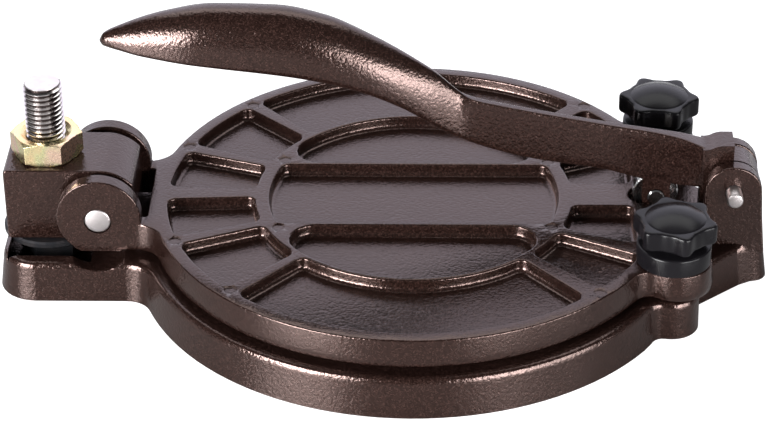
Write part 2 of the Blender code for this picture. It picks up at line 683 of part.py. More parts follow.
def make_block(surface, parent):
    wall = BLOCK_RIGHT - PIN_X
    end = math.degrees(math.acos(wall / BLOCK_ROUND))
    outline = [(BLOCK_LEFT + 1.2, BLOCK_BOTTOM), (BLOCK_RIGHT - 1.2, BLOCK_BOTTOM), (BLOCK_RIGHT, BLOCK_BOTTOM + 1.2)]
    outline += [(x, min(z, BLOCK_TOP)) for x, z in arc((PIN_X, PIN_Z), BLOCK_ROUND, end, 84, 5)]
    outline += [(BLOCK_LEFT + 1.2, BLOCK_TOP), (BLOCK_LEFT, BLOCK_TOP - 1.2), (BLOCK_LEFT, BLOCK_BOTTOM + 1.2)]
    body = side_prism(outline, -BLOCK_HALF_WIDTH, BLOCK_HALF_WIDTH)
    block = place("hinge_block", body, (STUD_X, 0.0, BLOCK_BOTTOM), surface, parent)
    cut(block, place("block stud bore", rod(STUD_RADIUS + GAP, BLOCK_BOTTOM - 5, BLOCK_TOP + 5, 40, (STUD_X, 0.0))))
    cut(block, place("block pin bore", rod(PIN_RADIUS + GAP, -40, 40, 32, (PIN_X, PIN_Z), "Y")))
    return block


def make_hinge_pin(surface, parent):
    body = rod(PIN_RADIUS, -EAR_OUTER, EAR_OUTER, 32, (PIN_X, PIN_Z), "Y", 0.8)
    return place("hinge_pin", body, (PIN_X, 0.0, PIN_Z), surface, parent)


def make_lid(surface, parent):
    outline = lid_outline()
    tapers = []
    for x, y in outline:
        beyond = math.hypot(x - LID_BOSS_X, abs(y) - KNOB_Y) - LID_BOSS_RADIUS
        tapers.append(LID_BOSS_TAPER * max(0.0, 1.0 - max(0.0, beyond) / BOSS_FILLET))
    rings = []
    for out, taper, z in ((LID_DRAFT - LID_EDGE, 1.0, LID_BOTTOM), (LID_DRAFT, 0.6, LID_BOTTOM + LID_EDGE),
                          (LID_DRAFT * 0.7, 0.0, LID_BOTTOM + LID_BOSS_TAPER_HEIGHT),
                          (0.0, 0.0, LID_TOP - LID_EDGE), (-LID_EDGE, 0.0, LID_TOP)):
        rings.append(([out - taper * most for most in tapers], z))
    body = stack([[(x, y, z) for x, y in moved_out(outline, out)] for out, z in rings])
    lid = place("lid_plate", body, (PIN_X, 0.0, PIN_Z), surface, parent)
    foot = LID_BOTTOM - EAR_DROP
    for side, word in ((1, "rear"), (-1, "front")):
        low = math.degrees(math.asin((foot - PIN_Z - EAR_RISE) / EAR_RADIUS))
        ear = [(x, z) for x, z in arc((PIN_X + 0.5, PIN_Z + EAR_RISE), EAR_RADIUS, low, 180 - low, 8)]
        join(lid, place(f"lid ear {word}", side_prism(ear, side * EAR_INNER, side * EAR_OUTER)))
    for name, shape in pocket_outlines():
        cut(lid, place(f"pocket {name}", prism(shape, LID_TOP - POCKET_DEPTH, LID_TOP + 5)))
    for side, word in ((1, "rear"), (-1, "front")):
        bore = rod(SCREW_RADIUS + GAP, LID_BOTTOM - 5, LID_TOP + 5, 24, (KNOB_X, side * KNOB_Y))
        cut(lid, place(f"stop screw bore {word}", bore))
    half = ROLLER_SLOT_HALF_WIDTH
    end = ROLLER_X - ROLLER_SLOT_REACH + half
    slot = [(LID_RADIUS + 20, -half), (LID_RADIUS + 20, half)] + arc((end, 0.0), half, 90, 270, 15)
    cut(lid, place("roller slot", prism(slot, LID_BOTTOM + ROLLER_SLOT_FLOOR, LID_TOP + 5)))
    cut(lid, place("lid pin bore", rod(PIN_RADIUS + GAP, -60, 60, 32, (PIN_X, PIN_Z), "Y")))
    return lid


def make_stop(word, side, surfaces, lid_axis):
    """The ring, screw and star knob of one closing stop."""
    centre = (KNOB_X, side * KNOB_Y)
    spot = (KNOB_X, side * KNOB_Y, RING_BOTTOM)
    hole = SCREW_RADIUS + GAP
    profile = [(hole, RING_BOTTOM), (RING_RADIUS, RING_BOTTOM), (RING_RADIUS, RING_TOP - 0.8),
               (RING_RADIUS - 0.8, RING_TOP), (hole, RING_TOP)]
    place(f"stop_ring_{word}", turned(profile, 48, centre), spot, surfaces["knob"], lid_axis)
    screw_top = HEAD_BOTTOM + KNOB_SCREW_DEPTH
    axis = axis_empty(f"knob_{word}_axis", (KNOB_X, side * KNOB_Y, HUB_BOTTOM), lid_axis)
    body = rod(SCREW_RADIUS, LID_BOTTOM - SCREW_DROP, screw_top, 24, centre, "Z", 0.8)
    place(f"knob_screw_{word}", body, spot, surfaces["steel"], axis)
    turn = KNOB_TURNS[word]
    top = HEAD_BOTTOM + KNOB_SIDE
    rings = [star(KNOB_EDGE, HEAD_BOTTOM, turn), star(0.0, HEAD_BOTTOM + KNOB_EDGE, turn)]
    rings += [star(0.0, top - KNOB_EDGE, turn), star(KNOB_EDGE, top, turn)]
    count = len(rings[0])
    for share in (1.0, 0.85, 0.6, 0.3, 0.08):
        ring = []
        rise = KNOB_DOME * (1 - share * share)
        for i in range(count):
            angle = 2 * math.pi * i / count + math.radians(turn)
            radius = KNOB_DOME_RADIUS * share
            ring.append((radius * math.cos(angle), radius * math.sin(angle), top + rise))
        rings.append(ring)
    head = stack([[(centre[0] + x, centre[1] + y, z) for x, y, z in ring] for ring in rings])
    knob = place(f"knob_{word}", head, (KNOB_X, side * KNOB_Y, HUB_BOTTOM), surfaces["knob"], axis)
    hub = rod(KNOB_HUB_RADIUS, HUB_BOTTOM, HEAD_BOTTOM + 2.0, 32, centre)
    join(knob, place(f"knob hub {word}", hub))
    bore = rod(SCREW_RADIUS + GAP, HUB_BOTTOM - 5, screw_top + GAP, 24, centre)
    cut(knob, place(f"knob bore {word}", bore))


def lever_height(line, x):
    """The height at one x of the lever's top or bottom line."""
    return curve_at([(PIVOT_X - back, PIVOT_Z + rise) for back, rise in line], x)


def lever_section(x):
    """The lever's ring of points at one x."""
    columns = [[(PIVOT_X - row[0], row[k]) for row in LEVER_SECTIONS] for k in range(1, 6)]
    wide_top, wide_bottom, waist, square_top, square_bottom = (curve_at(column, x) for column in columns)
    low, high = lever_height(LEVER_BOTTOM, x), lever_height(LEVER_TOP, x)
    middle = low + (high - low) * waist
    ring = []
    for i in range(LEVER_SIDES):
        angle = 2 * math.pi * (i + 0.5) / LEVER_SIDES
        rise, across = math.sin(angle), math.cos(angle)
        square = square_top if rise > 0 else square_bottom
        up = abs(rise) ** (2 / square) * (1 if rise > 0 else -1)
        out = abs(across) ** (2 / square) * (1 if across > 0 else -1)
        z = middle + up * ((high - middle) if rise > 0 else (middle - low))
        share = (z - low) / (high - low)
        ring.append((x, out * (wide_bottom + (wide_top - wide_bottom) * share), z))
    return ring


def make_lever(surface, axis):
    start, end = PIVOT_X - LEVER_TOP[0][0], PIVOT_X - GRIP_REACH
    places = [start + (end - start) * i / LEVER_STATIONS for i in range(LEVER_STATIONS)]
    places += [end + before for before in TIP_STATIONS]
    lever = place("lever", stack([lever_section(x) for x in places]), (PIVOT_X, 0.0, PIVOT_Z), surface, axis)
    root = lever_height(LEVER_BOTTOM, PIVOT_X - HUB_ROOT) + 1.5
    hub = [(PIVOT_X, PIVOT_Z + HORN_TOP), (PIVOT_X - HORN_STEP, PIVOT_Z + HORN_TOP)]
    hub += [(PIVOT_X - HORN_BACK, PIVOT_Z + HORN_STEP_RISE), (PIVOT_X - HUB_ROOT, PIVOT_Z + HORN_STEP_RISE + 1.0)]
    hub += [(PIVOT_X - HUB_ROOT, root)]
    hub += arc((PIVOT_X, PIVOT_Z), HUB_RADIUS, 205, 450, 10)
    join(lever, place("lever hub", side_prism(hub, -HUB_HALF_WIDTH, HUB_HALF_WIDTH)))
    drop = lever_height(LEVER_BOTTOM, ROLLER_X) + 4.0
    cheek = [(ROLLER_X + CHEEK_RADIUS, drop), (ROLLER_X - CHEEK_RADIUS, drop)]
    cheek += arc((ROLLER_X, ROLLER_Z), CHEEK_RADIUS, 180, 360, 20)
    join(lever, place("fork cheeks", side_prism(cheek, -CHEEK_OUTER, CHEEK_OUTER)))
    room = ROLLER_RADIUS + CHEEK_CLEARANCE
    cut(lever, place("fork slot", rod(room, -CHEEK_INNER, CHEEK_INNER, 40, (ROLLER_X, ROLLER_Z), "Y")))
    cut(lever, place("roller pin hole", rod(ROLLER_PIN_RADIUS + GAP, -20, 20, 24, (ROLLER_X, ROLLER_Z), "Y")))
    cut(lever, place("pivot hole", rod(LEVER_PIN_RADIUS + GAP, -20, 20, 24, (PIVOT_X, PIVOT_Z), "Y")))
    return lever


def make_roller(surfaces, lever_axis):
    centre = (ROLLER_X, ROLLER_Z)
    spot = (ROLLER_X, 0.0, ROLLER_Z)
    body = rod(ROLLER_PIN_RADIUS, -ROLLER_PIN_HALF, ROLLER_PIN_HALF, 24, centre, "Y", 0.6)
    place("roller_pin", body, spot, surfaces["steel"], lever_axis)
    half = ROLLER_HALF_WIDTH
    profile = [(ROLLER_BORE_RADIUS, -half), (ROLLER_INNER_RADIUS, -half), (ROLLER_INNER_RADIUS, half), (ROLLER_BORE_RADIUS, half)]
    place("roller_inner_ring", turned(profile, 32, centre, "Y"), spot, surfaces["steel"], lever_axis)
    axis = axis_empty("roller_axis", spot, lever_axis)
    edge = 0.6
    profile = [(ROLLER_RACE_RADIUS, -half), (ROLLER_RADIUS - edge, -half), (ROLLER_RADIUS, edge - half),
               (ROLLER_RADIUS, half - edge), (ROLLER_RADIUS - edge, half), (ROLLER_RACE_RADIUS, half)]
    place("roller_outer_ring", turned(profile, 48, centre, "Y"), spot, surfaces["steel"], axis)
    inside, outside = ROLLER_INNER_RADIUS + GAP, ROLLER_RACE_RADIUS - GAP
    for side, word in ((-1, "front"), (1, "rear")):
        low, high = sorted((side * (half - 0.2), side * (half - 0.2 - SHIELD_THICKNESS)))
        shield = [(inside, low), (outside, low), (outside, high), (inside, high)]
        place(f"roller_shield_{word}", turned(shield, 32, centre, "Y"), spot, surfaces["steel"], axis)
    ball = (ROLLER_RACE_RADIUS - ROLLER_INNER_RADIUS) / 2 - GAP
    path = (ROLLER_RACE_RADIUS + ROLLER_INNER_RADIUS) / 2
    band = [(path - CAGE_THICKNESS / 2, -CAGE_HALF_WIDTH), (path + CAGE_THICKNESS / 2, -CAGE_HALF_WIDTH),
            (path + CAGE_THICKNESS / 2, CAGE_HALF_WIDTH), (path - CAGE_THICKNESS / 2, CAGE_HALF_WIDTH)]
    cage = place("roller_balls", turned(band, 32, centre, "Y"), spot, surfaces["steel"], axis)
    for i in range(BALL_COUNT):
        angle = 2 * math.pi * i / BALL_COUNT
        bm = bmesh.new()
        bmesh.ops.create_icosphere(bm, subdivisions=1, radius=ball)
        shift = (ROLLER_X + path * math.cos(angle), 0.0, ROLLER_Z + path * math.sin(angle))
        bmesh.ops.translate(bm, verts=bm.verts, vec=shift)
        join(cage, place(f"ball {i + 1}", bm))


def build():
    clear_scene()
    surfaces = {
        "cast": material("bronze powder coat", (0.085, 0.055, 0.048), 0.55, 0.42),
        "steel": material("bright steel", (0.62, 0.62, 0.63), 1.0, 0.22),
        "zinc": material("yellow zinc plate", (0.72, 0.58, 0.30), 1.0, 0.25),
        "black": material("black oxide", (0.03, 0.03, 0.035), 0.7, 0.35),
        "knob": material("black plastic", (0.022, 0.021, 0.023), 0.0, 0.35),
    }
    make_base(surfaces["cast"])
    make_stud(surfaces["steel"])
    block_axis = axis_empty("height_axis", (STUD_X, 0.0, BLOCK_BOTTOM))
    make_block(surfaces["cast"], block_axis)
    corner = NUT_ACROSS_FLATS / 2 / math.cos(math.radians(30))
    make_nut("top_nut", BLOCK_TOP + SPIN_GAP, NUT_HEIGHT, corner, 0.0, True, surfaces["zinc"], block_axis)
    low = LOWER_NUT_TOP - LOWER_NUT_HEIGHT
    make_nut("lower_nut", low, LOWER_NUT_HEIGHT, LOWER_NUT_RADIUS, LOWER_NUT_TURN, False, surfaces["black"], block_axis)
    make_washer(surfaces["black"], block_axis)
    make_hinge_pin(surfaces["steel"], block_axis)
    lid_axis = axis_empty("lid_axis", (PIN_X, 0.0, PIN_Z))
    make_lid(surfaces["cast"], lid_axis)
    make_stop("front", -1, surfaces, lid_axis)
    make_stop("rear", 1, surfaces, lid_axis)
    body = rod(LEVER_PIN_RADIUS, -LEVER_PIN_HALF, LEVER_PIN_HALF, 24, (PIVOT_X, PIVOT_Z), "Y", 0.8)
    place("lever_pin", body, (PIVOT_X, 0.0, PIVOT_Z), surfaces["steel"])
    lever_axis = axis_empty("lever_axis", (PIVOT_X, 0.0, PIVOT_Z))
    make_lever(surfaces["cast"], lever_axis)
    make_roller(surfaces, lever_axis)


build()
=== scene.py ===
"""Tortilla press: the visual model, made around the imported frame.

The frame is the CAD's: origin on the plates' axis at the base's underside, +X towards the lever's pivot, -Y
towards the camera, +Z up. Every finished piece sits at the origin with its place in its mesh. Sizes of pieces
are in millimetres and turned into metres with MM. The floor's size and the places of the lamps and the camera
are in metres.
"""
import math

import bmesh
import bpy
from mathutils import Matrix, Vector


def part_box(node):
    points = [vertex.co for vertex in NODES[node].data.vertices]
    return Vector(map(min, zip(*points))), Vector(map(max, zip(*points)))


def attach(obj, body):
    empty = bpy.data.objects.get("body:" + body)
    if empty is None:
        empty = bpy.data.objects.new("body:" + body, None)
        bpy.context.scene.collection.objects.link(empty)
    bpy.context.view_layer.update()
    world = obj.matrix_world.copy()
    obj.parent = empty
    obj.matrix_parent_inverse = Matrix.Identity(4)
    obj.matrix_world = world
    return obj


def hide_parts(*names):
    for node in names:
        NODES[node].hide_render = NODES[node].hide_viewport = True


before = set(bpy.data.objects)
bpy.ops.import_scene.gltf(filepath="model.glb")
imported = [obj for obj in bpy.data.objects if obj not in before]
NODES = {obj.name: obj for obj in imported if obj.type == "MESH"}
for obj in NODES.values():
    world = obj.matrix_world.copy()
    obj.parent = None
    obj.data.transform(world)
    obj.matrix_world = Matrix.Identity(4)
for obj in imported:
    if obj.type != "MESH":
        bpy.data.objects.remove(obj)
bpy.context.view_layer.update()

MM = 0.001

# Heights and centres that the pieces share
LID_TOP = 36.5 * MM
STUD_X = -177.7 * MM
PIN_AXIS = Vector((-151.5, 0.0, 38.2)) * MM
PIVOT_AXIS = Vector((154.0, 0.0, 46.8)) * MM
ROLLER_AXIS = Vector((117.4, 0.0, 39.3)) * MM
KNOB_AXES = {"front": Vector((122.5, -57.9, 0.0)) * MM, "rear": Vector((122.5, 57.9, 0.0)) * MM}

# Angles in degrees above which an edge stays sharp
BASE_SMOOTH = 27.0
CASTING_SMOOTH = 46.0
NUT_SMOOTH = 40.0
PIN_SMOOTH = 50.0
THREAD_SMOOTH = 30.0
PLASTIC_SMOOTH = 38.0


# Making and finishing meshes
def finish_piece(name, bm, surface, body, replaced, smooth_angle, weighted=False):
    """Turns a bmesh into a piece that rides on a body, with its place in its mesh."""
    bmesh.ops.remove_doubles(bm, verts=bm.verts, dist=1e-6)
    bmesh.ops.recalc_face_normals(bm, faces=bm.faces)
    mesh = bpy.data.meshes.new(name)
    bm.to_mesh(mesh)
    bm.free()
    mesh.shade_smooth()
    mesh.set_sharp_from_angle(angle=math.radians(smooth_angle))
    piece = bpy.data.objects.new(name, mesh)
    bpy.context.scene.collection.objects.link(piece)
    mesh.materials.append(surface)
    if weighted:
        step = piece.modifiers.new("even shading", "WEIGHTED_NORMAL")
        step.keep_sharp = True
        step.weight = 80
    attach(piece, body)
    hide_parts(*replaced)


def merged_copy(node):
    """A CAD node's mesh with its loose triangles joined into clean faces."""
    bm = bmesh.new()
    bm.from_mesh(NODES[node].data)
    bmesh.ops.remove_doubles(bm, verts=bm.verts, dist=2e-6)
    bmesh.ops.dissolve_limit(bm, angle_limit=math.radians(0.7), verts=bm.verts, edges=bm.edges)
    return bm


def edges_between(bm, region, least, convex=None, hole=None):
    """The edges with both ends in a region whose faces meet at more than the least angle, in degrees.

    A hole is an axis along Y and a radius; edges that start or end within it are left out.
    """
    low, high = region
    found = []
    for edge in bm.edges:
        if len(edge.link_faces) != 2:
            continue
        if hole and any((v.co.xz - hole[0].xz).length < hole[1] * MM for v in edge.verts):
            continue
        if not least < math.degrees(edge.calc_face_angle(0.0)) < 180.0:
            continue
        if convex is not None and edge.is_convex != convex:
            continue
        if all(low[i] * MM <= v.co[i] <= high[i] * MM for v in edge.verts for i in range(3)):
            found.append(edge)
    return found


def soften(bm, edges, width, segments=3):
    """Rounds the given edges."""
    bmesh.ops.bevel(bm, geom=list(edges), offset=width * MM, offset_type="OFFSET", segments=segments,
                    profile=0.5, affect="EDGES", clamp_overlap=False, loop_slide=True, material=-1)


def turned(profile, centre, along, steps, closed):
    """Turns a profile of (radius, height) pairs about an axis through a point."""
    bm = bmesh.new()
    across = Vector((1.0, 0.0, 0.0))
    up = Vector((0.0, 0.0, 1.0)) if along == "Z" else Vector((0.0, 1.0, 0.0))
    verts = [bm.verts.new(centre + (across * radius + up * height) * MM) for radius, height in profile]
    edges = [bm.edges.new(pair) for pair in zip(verts, verts[1:])]
    if closed:
        edges.append(bm.edges.new((verts[-1], verts[0])))
    bmesh.ops.spin(bm, geom=verts + edges, cent=centre, axis=up, angle=math.tau, steps=steps, use_merge=True)
    return bm


def drawn_items(result, kind):
    """The vertices or edges among what an extrusion has made."""
    return [item for item in result["geom"] if isinstance(item, kind)]


def lofted(rings, count):
    """Draws a circle out through rings and closes both ends; a ring gives a point for each angle."""
    bm = bmesh.new()
    verts = bmesh.ops.create_circle(bm, segments=count, radius=1.0)["verts"]
    edges = list(bm.edges)
    angles = [math.atan2(v.co.y, v.co.x) for v in verts]
    for vert, angle in zip(verts, angles):
        vert.co = rings[0](angle)
    bmesh.ops.contextual_create(bm, geom=edges)
    for ring in rings[1:]:
        drawn = bmesh.ops.extrude_edge_only(bm, edges=edges)
        edges = drawn_items(drawn, bmesh.types.BMEdge)
        for vert, angle in zip(drawn_items(drawn, bmesh.types.BMVert), angles):
            vert.co = ring(angle)
    bmesh.ops.contextual_create(bm, geom=edges)
    return bm


# Material nodes
FLOAT = "NodeSocketFloat"
COLOUR = "NodeSocketColor"
VECTOR = "NodeSocketVector"


def new_group(name, inputs):
    """An effect that puts out a colour, a roughness and a normal."""
    tree = bpy.data.node_groups.new(name, "ShaderNodeTree")
    for label, kind in inputs:
        tree.interface.new_socket(label, in_out="INPUT", socket_type=kind)
    for label, kind in (("Colour", COLOUR), ("Roughness", FLOAT), ("Normal", VECTOR)):
        tree.interface.new_socket(label, in_out="OUTPUT", socket_type=kind)
    return tree, tree.nodes.new("NodeGroupInput"), tree.nodes.new("NodeGroupOutput")


def new_material(name, metallic):
    made = bpy.data.materials.new(name)
    made.use_nodes = True
    shader = made.node_tree.nodes["Principled BSDF"]
    shader.inputs["Metallic"].default_value = metallic
    return made, made.node_tree, shader


def fill(tree, socket, value):
    """Links another node's output to a socket, or sets the socket's value."""
    if isinstance(value, bpy.types.NodeSocket):
        tree.links.new(value, socket)
    elif isinstance(value, tuple) and len(value) == 3 and len(socket.default_value) == 4:
        socket.default_value = (*value, 1.0)
    else:
        socket.default_value = value


def add(tree, kind, inputs=None, **settings):
    """Adds a node; an input is given as a value or as another node's output."""
    made = tree.nodes.new(kind)
    for name, value in settings.items():
        setattr(made, name, value)
    for name, value in (inputs or {}).items():
        fill(tree, made.inputs[name], value)
    return made


def feed(tree, node, sources):
    """Links outputs to a node's inputs by name."""
    for name, source in sources.items():
        tree.links.new(source, node.inputs[name])


def ramp(tree, value, stops, interpolation="LINEAR"):
    """A colour ramp; its stops are (position, grey level or colour)."""
    made = add(tree, "ShaderNodeValToRGB", {"Fac": value})
    made.color_ramp.interpolation = interpolation
    while len(made.color_ramp.elements) < len(stops):
        made.color_ramp.elements.new(0.5)
    for element, (position, colour) in zip(made.color_ramp.elements, stops):
        element.position = position
        element.color = (colour, colour, colour, 1.0) if isinstance(colour, float) else (*colour, 1.0)
    return made.outputs["Color"]


def mix_colour(tree, factor, first, second):
    made = tree.nodes.new("ShaderNodeMix")
    made.data_type = "RGBA"
    factor_socket, first_socket, second_socket = (made.inputs[i] for i in (0, 6, 7))
    fill(tree, factor_socket, factor)
    fill(tree, first_socket, first)
    fill(tree, second_socket, second)
    return made.outputs[2]


def maths(tree, operation, first, second):
    return add(tree, "ShaderNodeMath", {0: first, 1: second}, operation=operation).outputs[0]


def share_added(tree, start, source, share):
    """A starting value plus a share of another."""
    return maths(tree, "ADD", start, maths(tree, "MULTIPLY", source, share))


def vector_maths(tree, operation, first, second):
    return add(tree, "ShaderNodeVectorMath", {0: first, 1: second}, operation=operation).outputs[0]


def length_of(tree, vector):
    return add(tree, "ShaderNodeVectorMath", {0: vector}, operation="LENGTH").outputs["Value"]


def noise(tree, place, scale, detail, **more):
    return add(tree, "ShaderNodeTexNoise", {"Vector": place, "Scale": scale, "Detail": detail, **more})


def object_place(tree):
    return add(tree, "ShaderNodeTexCoord").outputs["Object"]


def bump_of(tree, height, strength, distance):
    inputs = {"Height": height, "Strength": strength, "Distance": distance}
    return add(tree, "ShaderNodeBump", inputs).outputs["Normal"]


# Materials
# How far the coat's cells are bent and how high they stand, in metres
BEND_REACH = 0.0022
COAT_RELIEF = 0.00035
# The radius where the painted shade in the thread's grooves starts to fade into bright metal, and how far
# down the stud's top face reaches, in millimetres
THREAD_GROOVE_SHADE_RADIUS = 8.2
THREAD_TOP_FACE = 0.4


def hammered_group():
    """The wormy cells, orange peel and metal flecks of a hammered powder coat."""
    tree, start, end = new_group("hammered coat", (
        ("Cell Scale", FLOAT), ("Cell Depth", FLOAT), ("Coat Colour", COLOUR), ("Fleck Colour", COLOUR),
        ("Plain Roughness", FLOAT)))
    coat_colour = start.outputs["Coat Colour"]
    fleck_colour = start.outputs["Fleck Colour"]
    place = object_place(tree)
    bend = noise(tree, place, 420.0, 2.0).outputs["Color"]
    shift = vector_maths(tree, "SUBTRACT", bend, (0.5, 0.5, 0.5))
    small = add(tree, "ShaderNodeVectorMath", {0: shift, "Scale": BEND_REACH}, operation="SCALE").outputs[0]
    bent = vector_maths(tree, "ADD", place, small)
    cells = add(tree, "ShaderNodeTexVoronoi", {
        "Vector": bent, "Scale": start.outputs["Cell Scale"], "Smoothness": 0.6}, feature="SMOOTH_F1")
    hills = ramp(tree, cells.outputs["Distance"], ((0.0, 1.0), (0.45, 0.55), (0.9, 0.0)), "EASE")
    peel = noise(tree, place, 1500.0, 2.0, Roughness=0.6).outputs["Fac"]
    height = share_added(tree, hills, peel, 0.6)
    grain = add(tree, "ShaderNodeTexVoronoi", {"Vector": place, "Scale": 2500.0}, feature="F1")
    tone = add(tree, "ShaderNodeSeparateColor", {"Color": grain.outputs["Color"]})
    flecks = ramp(tree, tone.outputs["Red"], ((0.5, 0.0), (1.0, 1.0)))
    broad = noise(tree, place, 45.0, 3.0).outputs["Fac"]
    darker = mix_colour(tree, 0.35, coat_colour, (0.0, 0.0, 0.0))
    coat = mix_colour(tree, broad, darker, coat_colour)
    coat = mix_colour(tree, maths(tree, "MULTIPLY", hills, 0.04), coat, fleck_colour)
    coat = mix_colour(tree, maths(tree, "MULTIPLY", flecks, 0.22), coat, fleck_colour)
    feed(tree, end, {
        "Colour": coat,
        "Roughness": share_added(tree, start.outputs["Plain Roughness"], peel, 0.12),
        "Normal": bump_of(tree, height, start.outputs["Cell Depth"], COAT_RELIEF)})
    return tree


def turned_group():
    """The fine rings that a lathe leaves about an axis, with soft cloudy tarnish."""
    tree, start, end = new_group("lathe rings", (
        ("Centre", VECTOR), ("Metal Colour", COLOUR), ("Stain Colour", COLOUR), ("Plain Roughness", FLOAT)))
    place = object_place(tree)
    reach = length_of(tree, vector_maths(tree, "SUBTRACT", place, start.outputs["Centre"]))
    lines = add(tree, "ShaderNodeTexNoise", {
        "W": maths(tree, "MULTIPLY", reach, 2600.0), "Scale": 1.0, "Detail": 1.0}, noise_dimensions="1D")
    cloud = noise(tree, place, 160.0, 4.0).outputs["Fac"]
    stain = ramp(tree, cloud, ((0.42, 0.0), (0.7, 1.0)))
    stained = maths(tree, "MULTIPLY", stain, 0.6)
    feed(tree, end, {
        "Colour": mix_colour(tree, stained, start.outputs["Metal Colour"], start.outputs["Stain Colour"]),
        "Roughness": share_added(tree, start.outputs["Plain Roughness"], cloud, 0.2),
        "Normal": bump_of(tree, lines.outputs["Fac"], 0.25, 0.00004)})
    return tree


def effect_material(name, metallic, group, **group_values):
    """A material whose colour, roughness and normal come from one of the groups."""
    made, tree, shader = new_material(name, metallic)
    effect = add(tree, "ShaderNodeGroup", node_tree=group)
    for label, value in group_values.items():
        fill(tree, effect.inputs[label.replace("_", " ")], value)
    feed(tree, shader, {
        "Base Color": effect.outputs["Colour"], "Roughness": effect.outputs["Roughness"],
        "Normal": effect.outputs["Normal"]})
    return made


def coat_material():
    """The coat's low reflection straight on and its warm tint are the shader's own values."""
    made = effect_material("hammered_bronze_coat", 0.0, hammered_group(),
                           Coat_Colour=(0.0045, 0.0017, 0.0012), Fleck_Colour=(0.105, 0.056, 0.047),
                           Cell_Scale=720.0, Plain_Roughness=0.11, Cell_Depth=0.28)
    shader = made.node_tree.nodes["Principled BSDF"]
    shader.inputs["IOR"].default_value = 1.6
    shader.inputs["Specular IOR Level"].default_value = 0.5
    shader.inputs["Specular Tint"].default_value = (1.0, 0.72, 0.66, 1.0)
    return made


def plastic_material():
    """Satin black moulded plastic with a faint texture and slightly paler scuffs."""
    made, tree, shader = new_material("satin_black_plastic", 0.0)
    shader.inputs["Specular IOR Level"].default_value = 0.2
    place = object_place(tree)
    fine = noise(tree, place, 2200.0, 2.0).outputs["Fac"]
    cloud = noise(tree, place, 90.0, 4.0).outputs["Fac"]
    feed(tree, shader, {
        "Base Color": mix_colour(tree, cloud, (0.0035, 0.003, 0.0038), (0.007, 0.0065, 0.0078)),
        "Roughness": share_added(tree, 0.2, cloud, 0.1),
        "Normal": bump_of(tree, fine, 0.12, 0.00005)})
    return made


def zinc_material():
    """Yellow passivated zinc, with its pink and green clouds."""
    made, tree, shader = new_material("yellow_zinc_plate", 1.0)
    place = object_place(tree)
    cloud = noise(tree, place, 55.0, 1.5, Distortion=0.6).outputs["Fac"]
    gold, straw, green, pink = (0.90, 0.67, 0.38), (0.88, 0.74, 0.42), (0.80, 0.77, 0.43), (0.92, 0.66, 0.50)
    fine = noise(tree, place, 900.0, 3.0).outputs["Fac"]
    feed(tree, shader, {
        "Base Color": ramp(tree, cloud, ((0.36, gold), (0.47, straw), (0.54, green), (0.62, pink))),
        "Roughness": share_added(tree, 0.2, fine, 0.16),
        "Normal": bump_of(tree, fine, 0.05, 0.00006)})
    return made


def thread_material():
    """Bright threaded steel with painted shade that makes its grooves darker than its crests and its matte
    top face.
    """
    made, tree, shader = new_material("threaded_steel", 1.0)
    place = object_place(tree)
    local = vector_maths(tree, "SUBTRACT", place, (STUD_X, 0.0, 0.0))
    reach = length_of(tree, vector_maths(tree, "MULTIPLY", local, (1.0, 1.0, 0.0)))
    depth = maths(tree, "SUBTRACT", maths(tree, "MULTIPLY", reach, 1 / MM), THREAD_GROOVE_SHADE_RADIUS)
    height = add(tree, "ShaderNodeSeparateXYZ", {0: place}).outputs["Z"]
    top_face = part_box("hinge_stud")[1].z - THREAD_TOP_FACE * MM
    on_top = maths(tree, "GREATER_THAN", height, top_face)
    # A mask of the bright metal: it falls to nothing down in the grooves, where shade is painted in
    crest_out_of_painted_shade = maths(tree, "MAXIMUM", ramp(tree, depth, ((0.0, 0.0), (0.9, 1.0))), on_top)
    cloud = noise(tree, place, 300.0, 3.0).outputs["Fac"]
    bright = mix_colour(tree, cloud, (0.56, 0.52, 0.51), (0.80, 0.77, 0.76))
    feed(tree, shader, {
        # Painted shade: the grooves take a dark colour in place of the shadow that falls in them
        "Base Color": mix_colour(tree, crest_out_of_painted_shade, (0.10, 0.075, 0.07), bright),
        "Roughness": share_added(tree, 0.14, on_top, 0.24)})
    return made


LATHE = turned_group()
COAT = coat_material()
THREAD = thread_material()
PLASTIC = plastic_material()
ZINC = zinc_material()
STEEL = effect_material(
    "bright_turned_steel", 1.0, LATHE, Metal_Colour=(0.62, 0.59, 0.58), Stain_Colour=(0.36, 0.31, 0.29),
    Plain_Roughness=0.1)
PIN_STEEL = effect_material(
    "matte_pin_steel", 1.0, LATHE, Centre=tuple(PIN_AXIS), Metal_Colour=(0.58, 0.54, 0.54),
    Stain_Colour=(0.40, 0.36, 0.36), Plain_Roughness=0.32)
BEARING = effect_material(
    "polished_bearing_steel", 1.0, LATHE, Centre=tuple(ROLLER_AXIS), Metal_Colour=(0.70, 0.70, 0.71),
    Stain_Colour=(0.55, 0.55, 0.56), Plain_Roughness=0.06)
BLACK = effect_material(
    "black_oxide_steel", 0.75, LATHE, Centre=(STUD_X, 0.0, 0.0), Metal_Colour=(0.035, 0.035, 0.04),
    Stain_Colour=(0.06, 0.05, 0.05), Plain_Roughness=0.25)

# How wide the edges are rounded
RIM_ROUNDING = 0.6
CLEVIS_ROUNDING = 0.9
LUG_ROUNDING = 0.6
RIB_ROUNDING = 1.1
POCKET_FILLET = 2.4
EAR_ROUNDING = 0.8
BLOCK_ROUNDING = 0.8
NUT_ROUNDING = 0.22

# Angles in degrees above which two faces make an edge that is rounded
CORNER_ANGLE = 60
LUG_ANGLE = 55
BLOCK_ANGLE = 35
NUT_ANGLE = 24

